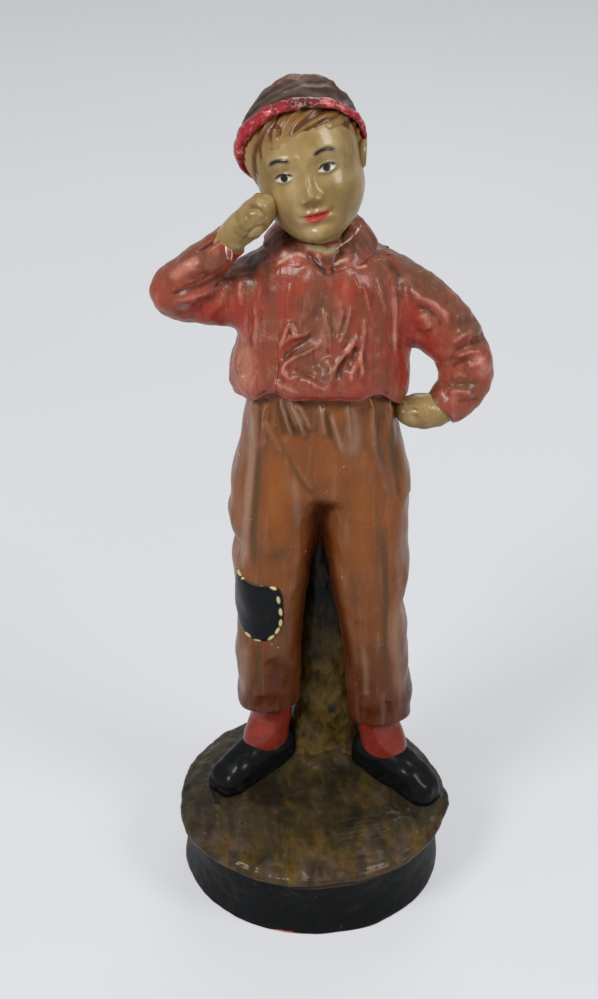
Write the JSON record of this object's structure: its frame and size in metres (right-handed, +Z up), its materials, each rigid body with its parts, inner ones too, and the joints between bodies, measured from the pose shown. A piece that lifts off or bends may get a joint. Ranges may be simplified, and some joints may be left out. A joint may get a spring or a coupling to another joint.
{
  "type": "terracotta sculpture",
  "caption": "Painted terracotta figure of a standing boy in cap and braces, cheek on fist and hand on hip, on a round plinth.",
  "frame": {"origin": "centre of the plinth's flat foot", "axes": "+Z up, the figure faces -Y, and the figure's left hand is on the +X side"},
  "size_m": [0.1679, 0.149, 0.4444],
  "materials": {
    "plinth_black": "black oil paint under a soft varnish",
    "earth_paint": "sponged olive, ochre and black paint",
    "shoe_black": "black paint, semi-gloss",
    "stocking_red": "red paint, glossy",
    "trouser_brown": "brown glaze paint over terracotta, varnished",
    "shirt_red": "red-brown paint, varnished, worn on the ridges",
    "skin_paint": "flesh paint yellowed by varnish",
    "hair_paint": "sandy brown paint",
    "cap_brown": "brown-grey paint with rust tones",
    "band_crimson": "crimson paint, chipped"
  },
  "bodies": {
    "root": {"plinth_drum": "plinth_black", "ground_mound": "earth_paint", "tree_stump": "earth_paint", "right_shoe": "shoe_black", "left_shoe": "shoe_black", "knee_patch": "shoe_black", "right_stocking": "stocking_red", "left_stocking": "stocking_red", "trouser_seat": "trouser_brown", "right_trouser_leg": "trouser_brown", "left_trouser_leg": "trouser_brown", "shirt_body": "shirt_red", "right_front_brace": "shirt_red", "left_front_brace": "shirt_red", "right_back_brace": "shirt_red", "left_back_brace": "shirt_red", "right_collar_leaf": "shirt_red", "left_collar_leaf": "shirt_red", "right_lower_sleeve": "shirt_red", "right_upper_sleeve": "shirt_red", "left_upper_sleeve": "shirt_red", "left_lower_sleeve": "shirt_red", "head": "skin_paint", "left_ear": "skin_paint", "right_hand": "skin_paint", "left_hand": "skin_paint", "hair": "hair_paint", "cap_crown": "cap_brown", "cap_band": "band_crimson"}
  },
  "joints": []
}
